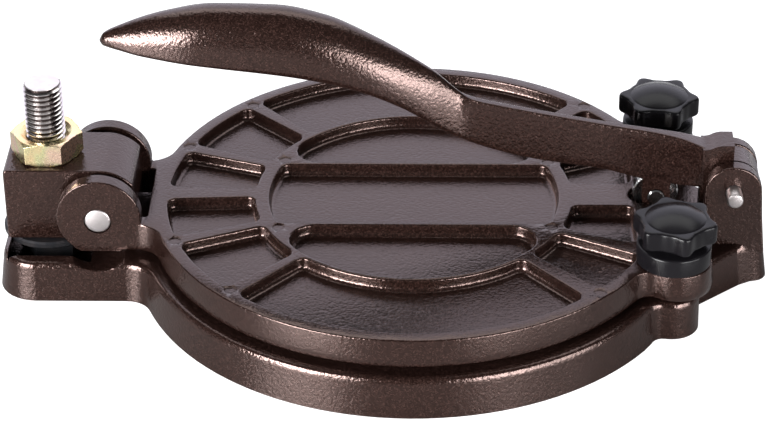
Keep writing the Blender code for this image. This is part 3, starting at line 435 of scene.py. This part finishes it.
# Regions whose edges are rounded, as their lowest and highest corners
CLEVIS_REGION = ((130, -30, 14.5), (180, 30, 70))
LUG_REGION = ((-205, -45, 4), (-130, 45, 20.5))
RIB_TOPS = ((-125, -125, 36.4), (113, 125, 36.6))
POCKET_FLOORS = ((-125, -125, 30.4), (113, 125, 30.6))
EARS_REGION = ((-175, -31, 23.5), (-128, 31, 62))
BLOCK_REGION = ((-200, -20, 20), (-130, 20, 62))
NUT_REGION = ((-210, -30, 0), (-150, 30, 80))

# The base's level edges between these heights, whose faces meet between these angles, are rounded too
RIM_LOW = 16.5
RIM_HIGH = 19.95
RIM_LEAST_ANGLE = 12
RIM_MOST_ANGLE = 50
# Two heights this close, in metres, count as level
LEVEL_WITHIN = 1e-5

# Edges this close to a pin's or the stud's axis stay sharp
LEVER_PIN_ROOM = 6.0
HINGE_PIN_ROOM = 13.0
WASHER_ROOM = 26.0

# Where the ejector pins left their round marks on the lid's ribs, as (x, y) on the rear half
EJECTOR_MARKS = ((-64.5, 31.5), (66.3, 30.2), (-113.2, 44.1), (-83.8, 86.2), (86.7, 87.0))
MARK_RADIUS = 3.2
MARK_DEPTH = 0.6
MARK_TAPER = 0.93


# Castings
def make_base():
    bm = merged_copy("base_plate")
    rim = []
    for edge in bm.edges:
        first, second = edge.verts
        between = all(RIM_LOW * MM < v.co.z < RIM_HIGH * MM for v in edge.verts)
        level = abs(first.co.z - second.co.z) < LEVEL_WITHIN
        if between and level and RIM_LEAST_ANGLE < math.degrees(edge.calc_face_angle(0.0)) < RIM_MOST_ANGLE:
            rim.append(edge)
    soften(bm, rim, RIM_ROUNDING, 2)
    clevis = edges_between(bm, CLEVIS_REGION, CORNER_ANGLE, convex=True, hole=(PIVOT_AXIS, LEVER_PIN_ROOM))
    soften(bm, clevis, CLEVIS_ROUNDING, 4)
    stud = Vector((STUD_X, 0.0))
    lug = [edge for edge in edges_between(bm, LUG_REGION, LUG_ANGLE, convex=True)
           if all((v.co.xy - stud).length > WASHER_ROOM * MM for v in edge.verts)]
    soften(bm, lug, LUG_ROUNDING, 4)
    finish_piece("base_casting", bm, COAT, "base", ("base_plate",), BASE_SMOOTH, True)


def refill_top(bm, height, marks):
    """Fills the flat top afresh between its holes, with a shallow round mark at each place."""
    old = [face for face in bm.faces
           if face.normal.z > 0.999 and abs(face.calc_center_median().z - height) < LEVEL_WITHIN]
    bmesh.ops.delete(bm, geom=old, context="FACES")
    outline = [edge for edge in bm.edges if edge.is_boundary]
    rims = []
    for x, y in marks:
        spot = Matrix.Translation((x * MM, y * MM, height))
        rim = bmesh.ops.create_circle(bm, segments=28, radius=MARK_RADIUS * MM, matrix=spot)["verts"]
        rims.append(list({edge for vert in rim for edge in vert.link_edges}))
        outline += rims[-1]
    bmesh.ops.triangle_fill(bm, edges=outline, use_beauty=True, use_dissolve=False, normal=(0.0, 0.0, 1.0))
    for (x, y), rim in zip(marks, rims):
        drawn = bmesh.ops.extrude_edge_only(bm, edges=rim)
        low = drawn_items(drawn, bmesh.types.BMVert)
        bmesh.ops.translate(bm, verts=low, vec=(0.0, 0.0, -MARK_DEPTH * MM))
        about = Matrix.Translation((-x * MM, -y * MM, 0.0))
        bmesh.ops.scale(bm, verts=low, vec=(MARK_TAPER, MARK_TAPER, 1.0), space=about)
        bmesh.ops.contextual_create(bm, geom=drawn_items(drawn, bmesh.types.BMEdge))


def make_lid():
    bm = merged_copy("lid_plate")
    soften(bm, edges_between(bm, RIB_TOPS, CORNER_ANGLE, convex=True), RIB_ROUNDING, 3)
    soften(bm, edges_between(bm, POCKET_FLOORS, CORNER_ANGLE, convex=False), POCKET_FILLET, 4)
    ears = edges_between(bm, EARS_REGION, CORNER_ANGLE, hole=(PIN_AXIS, HINGE_PIN_ROOM))
    soften(bm, ears, EAR_ROUNDING, 4)
    refill_top(bm, LID_TOP, [(x, side * y) for x, y in EJECTOR_MARKS for side in (1, -1)])
    finish_piece("lid_casting", bm, COAT, "lid", ("lid_plate",), CASTING_SMOOTH, True)


def make_block():
    bm = merged_copy("hinge_block")
    soften(bm, edges_between(bm, BLOCK_REGION, BLOCK_ANGLE), BLOCK_ROUNDING)
    finish_piece("block_casting", bm, COAT, "block", ("hinge_block",), CASTING_SMOOTH, True)


# Lever, as distances back from the pivot and up from it
LEVER_START = 13.0
GRIP_REACH = 302.6
LEVER_TOP = ((LEVER_START, 18.7), (26.0, 23.2), (64.0, 30.2), (112.5, 39.9), (127.0, 43.7), (145.3, 58.7),
             (173.6, 76.4), (196.0, 87.0), (219.0, 91.8), (248.0, 92.5), (271.5, 88.8), (295.6, 80.6),
             (300.8, 77.6), (GRIP_REACH, 74.6))
LEVER_BOTTOM = ((LEVER_START, -3.0), (37.0, 0.2), (64.0, 6.9), (98.0, 12.4), (131.7, 23.2), (160.5, 42.2),
                (179.0, 51.2), (208.0, 59.2), (249.0, 64.7), (288.0, 69.2), (300.8, 71.4), (GRIP_REACH, 73.4))
# Each row: distance, half width at the top and at the bottom, height of the widest line as a share, and
# squareness above and below that line
LEVER_SECTIONS = (
    (LEVER_START, 6.7, 7.03, 0.5, 9.0, 9.0),
    (22.0, 4.6, 7.03, 0.5, 9.0, 9.0),
    (32.0, 3.2, 7.0, 0.5, 9.0, 9.0),
    (42.0, 2.5, 6.6, 0.5, 9.0, 9.0),
    (64.0, 2.3, 5.5, 0.5, 9.0, 9.0),
    (126.5, 2.2, 5.0, 0.5, 9.0, 9.0),
    (130.5, 3.0, 5.4, 0.2, 2.2, 4.0),
    (148.0, 7.4, 9.2, 0.2, 2.1, 3.4),
    (179.0, 12.4, 13.8, 0.2, 2.1, 3.2),
    (214.0, 14.6, 15.7, 0.2, 2.25, 3.2),
    (254.0, 13.4, 15.0, 0.18, 2.3, 3.0),
    (282.0, 8.8, 10.4, 0.2, 2.2, 2.4),
    (296.0, 5.0, 5.6, 0.35, 2.0, 2.0),
    (301.2, 2.8, 2.8, 0.5, 2.0, 2.0),
    (GRIP_REACH, 0.5, 0.5, 0.5, 2.0, 2.0))
EVEN_STATIONS = 110
TIP_STATIONS = (1.8, 1.1, 0.6, 0.25, 0.08, 0.0)
BLADE_STEPS = 64

# The hub and the cheeks that hold the roller; their arcs run from one angle to another in a number of steps
CHEEK_HALF_WIDTH = 7.0
HUB_RADIUS = 13.3
HUB_ARC = (-25, -270, 34)
HUB_ROOT = 15.0
HUB_ROOT_RISE = 1.5
HORN = ((0.0, 21.2), (7.6, 21.2), (12.4, 18.6), (HUB_ROOT, 19.0))
HORN_REACH = 0.4
HORN_ROUNDING = 2.2
ROLLER_BACK = 36.6
CHEEK_RADIUS = 6.8
CHEEK_ARC = (180, 360, 20)
CHEEK_ROOT_RISE = 4.0

# What is cut out of them, as radius, half width and steps round
ROLLER_ROOM = (11.7, 4.3, 64)
PIN_HOLE = (4.3, 20, 48)


def curve_at(points, x):
    """A smooth value through (distance, value) points, in order of distance."""
    for i in range(len(points) - 1):
        if x <= points[i + 1][0] or i == len(points) - 2:
            break
    (x0, a), (x1, b) = points[i], points[i + 1]

    def slope(k):
        if k == 0 or k == len(points) - 1:
            one, two = (points[0], points[1]) if k == 0 else (points[-2], points[-1])
            return (two[1] - one[1]) / (two[0] - one[0])
        left = (points[k][1] - points[k - 1][1]) / (points[k][0] - points[k - 1][0])
        right = (points[k + 1][1] - points[k][1]) / (points[k + 1][0] - points[k][0])
        return 0.0 if left * right <= 0 else 2 * left * right / (left + right)

    span = x1 - x0
    t = (x - x0) / span
    return ((1 + 2 * t) * (1 - t) ** 2 * a + t * (1 - t) ** 2 * span * slope(i)
            + t * t * (3 - 2 * t) * b - t * t * (1 - t) * span * slope(i + 1))


def lever_ring(back):
    """The lever's section at one distance from the pivot, as a function of the angle round it."""
    columns = [[(row[0], row[k]) for row in LEVER_SECTIONS] for k in range(1, 6)]
    wide_top, wide_bottom, waist, square_top, square_bottom = (curve_at(column, back) for column in columns)
    low, high = curve_at(LEVER_BOTTOM, back), curve_at(LEVER_TOP, back)
    middle = low + (high - low) * waist

    def point(angle):
        rise, across = math.sin(angle), math.cos(angle)
        square = square_top if rise > 0 else square_bottom
        up = abs(rise) ** (2 / square) * (1 if rise > 0 else -1)
        out = abs(across) ** (2 / square) * (1 if across > 0 else -1)
        z = middle + up * ((high - middle) if rise > 0 else (middle - low))
        share = (z - low) / (high - low)
        wide = wide_bottom + (wide_top - wide_bottom) * share
        return PIVOT_AXIS + Vector((-back, out * wide, z)) * MM

    return point


def joined(solids, operation="UNION"):
    """The first solid joined with the others, or with them cut out of it."""
    made = []
    for number, bm in enumerate(solids):
        bmesh.ops.recalc_face_normals(bm, faces=bm.faces)
        mesh = bpy.data.meshes.new(f"working solid {number}")
        bm.to_mesh(mesh)
        bm.free()
        made.append(bpy.data.objects.new(mesh.name, mesh))
        bpy.context.scene.collection.objects.link(made[-1])
    for tool in made[1:]:
        step = made[0].modifiers.new(tool.name, "BOOLEAN")
        step.operation = operation
        step.solver = "EXACT"
        step.object = tool
    result = bmesh.new()
    result.from_object(made[0], bpy.context.evaluated_depsgraph_get())
    for thing in made:
        bpy.data.objects.remove(thing, do_unlink=True)
    return result


def slab(outline, half):
    """A flat piece with an outline of (distance back, rise) points about the lever's pivot."""
    bm = bmesh.new()
    verts = [bm.verts.new(PIVOT_AXIS + Vector((-back, -half, rise)) * MM) for back, rise in outline]
    drawn = bmesh.ops.extrude_face_region(bm, geom=[bm.faces.new(verts)])
    moved = drawn_items(drawn, bmesh.types.BMVert)
    bmesh.ops.translate(bm, verts=moved, vec=(0.0, 2 * half * MM, 0.0))
    return bm


def across_edges(bm, spots, reach):
    """The edges that run along Y and pass within reach of (distance back, rise) spots."""
    found = []
    for edge in bm.edges:
        a, b = (v.co - PIVOT_AXIS for v in edge.verts)
        here = Vector((-a.x, a.z)) / MM
        if (a.xz - b.xz).length < 1e-6 and any((here - Vector(spot)).length < reach for spot in spots):
            found.append(edge)
    return found


def arc(centre, radius, start, end, count):
    """Points on a circle between two angles in degrees."""
    made = []
    for i in range(count + 1):
        angle = math.radians(start + (end - start) * i / count)
        made.append((centre[0] + radius * math.cos(angle), centre[1] + radius * math.sin(angle)))
    return made


def bar(centre, radius, half, steps):
    """A round bar along Y, for cutting holes."""
    spot = Matrix.Translation(centre) @ Matrix.Rotation(math.radians(90), 4, "X")
    bm = bmesh.new()
    bmesh.ops.create_cone(bm, cap_ends=True, segments=steps, radius1=radius * MM, radius2=radius * MM,
                          depth=2 * half * MM, matrix=spot)
    return bm


def make_lever():
    length = GRIP_REACH - LEVER_START
    stations = [LEVER_START + length * i / EVEN_STATIONS for i in range(EVEN_STATIONS)]
    stations += [GRIP_REACH - before for before in TIP_STATIONS]
    blade = lofted([lever_ring(back) for back in stations], BLADE_STEPS)
    root = (HUB_ROOT, curve_at(LEVER_BOTTOM, HUB_ROOT) + HUB_ROOT_RISE)
    hub = slab(list(HORN) + [root] + arc((0.0, 0.0), HUB_RADIUS, *HUB_ARC), CHEEK_HALF_WIDTH)
    soften(hub, across_edges(hub, HORN[1:3], HORN_REACH), HORN_ROUNDING, 5)
    drop = curve_at(LEVER_BOTTOM, ROLLER_BACK) + CHEEK_ROOT_RISE
    roller = ROLLER_AXIS - PIVOT_AXIS
    back, rise = -roller.x / MM, roller.z / MM
    edge = arc((back, rise), CHEEK_RADIUS, *CHEEK_ARC)
    cheek = slab([(back + CHEEK_RADIUS, drop), (back - CHEEK_RADIUS, drop)] + edge, CHEEK_HALF_WIDTH)
    body = joined([blade, hub, cheek])
    holes = [bar(ROLLER_AXIS, *ROLLER_ROOM), bar(ROLLER_AXIS, *PIN_HOLE), bar(PIVOT_AXIS, *PIN_HOLE)]
    body = joined([body] + holes, "DIFFERENCE")
    bmesh.ops.remove_doubles(body, verts=body.verts, dist=2e-6)
    finish_piece("lever_casting", body, COAT, "lever", ("lever",), CASTING_SMOOTH, True)


# Stud, nuts and pins
THREAD_PITCH = 2.54
THREAD_CREST = 9.5
THREAD_ROOT = 8.15
THREAD_STEPS = 44
# One turn's outline, as (radius, height)
THREAD_ROWS = ((THREAD_ROOT, 0.0), (THREAD_ROOT, 0.63), (THREAD_CREST, 1.42), (THREAD_CREST, 1.75),
               (THREAD_ROOT, THREAD_PITCH))
THREAD_END = 0.15
# A pin's rounded end, as (distance in from the side, distance in from the end)
PIN_END = ((1.0, 0.0), (0.3, 0.25), (0.0, 0.9))
PIN_STEPS = 64


def make_stud():
    low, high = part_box("hinge_stud")
    foot, top = low.z / MM, high.z / MM
    turns = math.ceil((top - foot) / THREAD_PITCH) + 3
    start = foot - 2 * THREAD_PITCH
    bm = bmesh.new()
    verts = [bm.verts.new((STUD_X + radius * MM, 0.0, (start + height) * MM))
             for radius, height in THREAD_ROWS]
    edges = [bm.edges.new(pair) for pair in zip(verts, verts[1:])]
    bmesh.ops.spin(bm, geom=verts + edges, cent=(STUD_X, 0.0, 0.0), axis=(0.0, 0.0, 1.0),
                   angle=math.tau * turns, steps=THREAD_STEPS * turns,
                   dvec=(0.0, 0.0, THREAD_PITCH / THREAD_STEPS * MM))
    bmesh.ops.remove_doubles(bm, verts=bm.verts, dist=4e-6)
    for height, up in ((foot, -1.0), (top, 1.0)):
        everything = list(bm.verts) + list(bm.edges) + list(bm.faces)
        bmesh.ops.bisect_plane(bm, geom=everything, plane_co=(0.0, 0.0, height * MM), plane_no=(0.0, 0.0, up),
                               clear_outer=True)
    # The thread tapers in towards both ends
    for vert in bm.verts:
        near_end = min(vert.co.z / MM - foot, top - vert.co.z / MM)
        out = Vector((vert.co.x - STUD_X, vert.co.y))
        limit = (THREAD_ROOT + THREAD_END + max(0.0, near_end)) * MM
        if out.length > limit:
            out *= limit / out.length
            vert.co.x, vert.co.y = STUD_X + out.x, out.y
    bmesh.ops.holes_fill(bm, edges=[edge for edge in bm.edges if edge.is_boundary])
    finish_piece("stud_thread", bm, THREAD, "base", ("hinge_stud",), THREAD_SMOOTH)


def make_nut(node, piece, surface, body):
    bm = merged_copy(node)
    soften(bm, edges_between(bm, NUT_REGION, NUT_ANGLE), NUT_ROUNDING, 2)
    finish_piece(piece, bm, surface, body, (node,), NUT_SMOOTH, True)


def make_pin(node, piece, body, centre):
    low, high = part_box(node)
    half, radius = (high.y - low.y) / 2 / MM, (high.z - low.z) / 2 / MM
    front = [(radius - side, end - half) for side, end in PIN_END]
    back = [(radius - side, half - end) for side, end in reversed(PIN_END)]
    bm = turned([(0.0, -half)] + front + back + [(0.0, half)], centre, "Y", PIN_STEPS, closed=False)
    finish_piece(piece, bm, PIN_STEEL, body, (node,), PIN_SMOOTH)


# Closing stops
STOP_STEPS = 96
KNOB_TURNS = {"front": -78.0, "rear": -66.0}
KNOB_POINTS = 6
KNOB_RADIUS = 20.0
KNOB_VALLEY = 3.6
KNOB_POINT = 0.5
STOP_BORE = 5.05
BORE_DEPTH = 7.3
STEM_HEIGHT = 3.0
STEM_RADIUS = 9.0
DOME_RADIUS = 14.3
DOME_HEIGHT = 4.0
# The star's edges, as (distance in from its outline, rise above the underside or the top)
STAR_UNDERSIDE = ((1.4, 0.0), (0.5, 0.25), (0.1, 0.8), (0.0, 1.5))
STAR_TOP = ((0.0, -1.7), (0.12, -0.9), (0.45, -0.35), (1.2, 0.0), (1.9, 0.02))
DOME_SHARES = (0.97, 0.93, 0.86, 0.77, 0.66, 0.54, 0.42, 0.3, 0.2, 0.1, 0.03)
COLLAR_RADIUS = 17.6
# The collar's top edge, as (distance in from its side, distance down from the top)
COLLAR_EDGE = ((0.0, 1.1), (0.15, 0.5), (0.6, 0.12), (1.2, 0.0))


def make_knob(word):
    axis = KNOB_AXES[word]
    low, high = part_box(f"knob_{word}")
    hub, top = low.z / MM, high.z / MM - DOME_HEIGHT
    head = hub + STEM_HEIGHT
    turn = math.radians(KNOB_TURNS[word])

    def spot(radius, angle, height):
        return axis + Vector((radius * math.cos(angle + turn), radius * math.sin(angle + turn), height)) * MM

    def star(inset, height):
        def point(angle):
            wave = KNOB_POINTS * angle
            mean = KNOB_RADIUS - KNOB_VALLEY / 2 - KNOB_POINT
            radius = mean + KNOB_VALLEY / 2 * math.cos(wave) + KNOB_POINT * math.cos(2 * wave) - inset
            return spot(radius, angle, height)
        return point

    def ring(radius, height):
        return lambda angle: spot(radius, angle, height)

    rings = [ring(STOP_BORE, head + BORE_DEPTH), ring(STOP_BORE, hub + 0.4), ring(5.4, hub), ring(8.6, hub),
             ring(STEM_RADIUS, hub + 0.4), ring(STEM_RADIUS, head - 0.5), ring(9.5, head)]
    rings += [star(inset, head + rise) for inset, rise in STAR_UNDERSIDE]
    rings += [star(inset, top + rise) for inset, rise in STAR_TOP]
    rings += [ring(DOME_RADIUS + 0.5, top), ring(DOME_RADIUS, top - 0.05)]
    rings += [ring(DOME_RADIUS * share, top + DOME_HEIGHT * (1 - share * share)) for share in DOME_SHARES]
    finish_piece(f"star_knob_{word}", lofted(rings, STOP_STEPS), PLASTIC, f"knob_{word}",
                 (f"knob_{word}",), PLASTIC_SMOOTH)


def make_stop_ring(word):
    low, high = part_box(f"stop_ring_{word}")
    foot, top = low.z / MM, high.z / MM
    profile = [(STOP_BORE, foot), (COLLAR_RADIUS - 0.4, foot), (COLLAR_RADIUS, foot + 0.4)]
    profile += [(COLLAR_RADIUS - side, top - down) for side, down in COLLAR_EDGE] + [(STOP_BORE, top)]
    bm = turned(profile, KNOB_AXES[word], "Z", STOP_STEPS, closed=True)
    finish_piece(f"collar_{word}", bm, PLASTIC, "lid", (f"stop_ring_{word}",), PLASTIC_SMOOTH)


make_base()
make_lid()
make_block()
make_lever()
make_stud()
make_nut("top_nut", "clamp_nut", ZINC, "top_nut")
make_nut("lower_nut", "support_nut", BLACK, "lower_nut")
make_pin("hinge_pin", "hinge_pin_bar", "block", PIN_AXIS)
make_pin("lever_pin", "lever_pin_bar", "base", PIVOT_AXIS)
for word in ("front", "rear"):
    make_knob(word)
    make_stop_ring(word)

# CAD nodes that keep their shape
KEPT_NODES = {
    "support_washer": BLACK, "knob_screw_front": STEEL, "knob_screw_rear": STEEL, "roller_pin": BEARING,
    "roller_inner_ring": BEARING, "roller_outer_ring": BEARING, "roller_shield_front": BEARING,
    "roller_shield_rear": BEARING, "roller_balls": BEARING}
for name, surface in KEPT_NODES.items():
    for slot in NODES[name].material_slots:
        slot.material = surface

# Floor, lamps and room
FLOOR_HALF = 6.0
SEEN_GLOW = 0.95
BACK_GLOW = 0.85
BACK_GLOW_STARTS = 0.18
BACK_GLOW_FULL = 0.5
ROOM_STRENGTH = 0.08
PRESS_CENTRE = (0.0, 0.0, 0.05)


def floor_material():
    """White as the camera sees it, glowing behind the press for every ray, and darker for other rays."""
    made, tree, shader = new_material("white_floor", 0.0)
    shader.inputs["Base Color"].default_value = (0.4, 0.4, 0.4, 1.0)
    shader.inputs["Roughness"].default_value = 0.36
    shader.inputs["Specular IOR Level"].default_value = 0.35
    shader.inputs["Emission Color"].default_value = (1.0, 1.0, 1.0, 1.0)
    seen = add(tree, "ShaderNodeLightPath").outputs["Is Camera Ray"]
    behind = add(tree, "ShaderNodeSeparateXYZ", {"Vector": object_place(tree)}).outputs["Y"]
    fade = ramp(tree, behind, ((BACK_GLOW_STARTS, 0.0), (BACK_GLOW_FULL, 1.0)))
    seen_glow = maths(tree, "MULTIPLY", seen, SEEN_GLOW)
    back_glow = maths(tree, "MULTIPLY", fade, BACK_GLOW)
    tree.links.new(maths(tree, "MAXIMUM", seen_glow, back_glow), shader.inputs["Emission Strength"])
    return made


def make_floor():
    bm = bmesh.new()
    bmesh.ops.create_grid(bm, x_segments=1, y_segments=1, size=FLOOR_HALF)
    mesh = bpy.data.meshes.new("floor")
    bm.to_mesh(mesh)
    bm.free()
    mesh.materials.append(floor_material())
    floor = bpy.data.objects.new("floor", mesh)
    bpy.context.scene.collection.objects.link(floor)


def soft_box(name, spot, size, power, target=PRESS_CENTRE, colour=(1.0, 1.0, 1.0)):
    data = bpy.data.lights.new(name, "AREA")
    data.shape = "RECTANGLE"
    data.size, data.size_y = size
    data.energy = power
    data.color = colour
    lamp = bpy.data.objects.new(name, data)
    lamp.location = spot
    aim = Vector(target) - Vector(spot)
    lamp.rotation_euler = aim.to_track_quat("-Z", "Y").to_euler()
    bpy.context.scene.collection.objects.link(lamp)


make_floor()
soft_box("front left box", (-1.07, -1.16, 0.44), (0.85, 0.56), 68.0)
soft_box("front right box", (0.88, -1.30, 0.27), (0.6, 0.45), 20.0)
soft_box("right card", (1.33, -0.83, 0.22), (0.6, 0.4), 10.0)
soft_box("back sheet", (0.0, 2.1, 1.05), (4.2, 1.8), 35.0, colour=(0.97, 0.95, 1.1))
soft_box("back strip", (0.1, 0.95, 1.9), (2.4, 1.0), 19.0, target=(0.0, 0.0, 0.03))

world = bpy.data.worlds.new("soft room")
bpy.context.scene.world = world
world.use_nodes = True
world.node_tree.nodes["Background"].inputs["Color"].default_value = (1.0, 1.0, 1.0, 1.0)
world.node_tree.nodes["Background"].inputs["Strength"].default_value = ROOM_STRENGTH

# The photograph's camera: its turn, its shift in lid radii, and its focal length and the picture's width in
# pixels. The sensor's width is in millimetres.
TURN = Matrix.Rotation(0.0047, 3, "Z") @ Matrix.Rotation(0.0211, 3, "Y") @ Matrix.Rotation(2.1277, 3, "X")
LID_RADIUS = 0.127
SHIFT = Vector((0.1166, 0.1773, 10.5547)) * LID_RADIUS
FOCAL_PIXELS = 2703.84
PICTURE_WIDTH = 768.0
SENSOR_WIDTH = 36.0

camera_data = bpy.data.cameras.new("camera")
camera_data.sensor_width = SENSOR_WIDTH
camera_data.lens = FOCAL_PIXELS * SENSOR_WIDTH / PICTURE_WIDTH
camera = bpy.data.objects.new("camera", camera_data)
right, down, forward = TURN[0], TURN[1], TURN[2]
stand = Matrix((right, -down, -forward)).transposed().to_4x4()
stand.translation = -(TURN.transposed() @ SHIFT)
camera.matrix_world = stand
bpy.context.scene.collection.objects.link(camera)
bpy.context.scene.camera = camera
bpy.context.scene.view_settings.view_transform = "Standard"
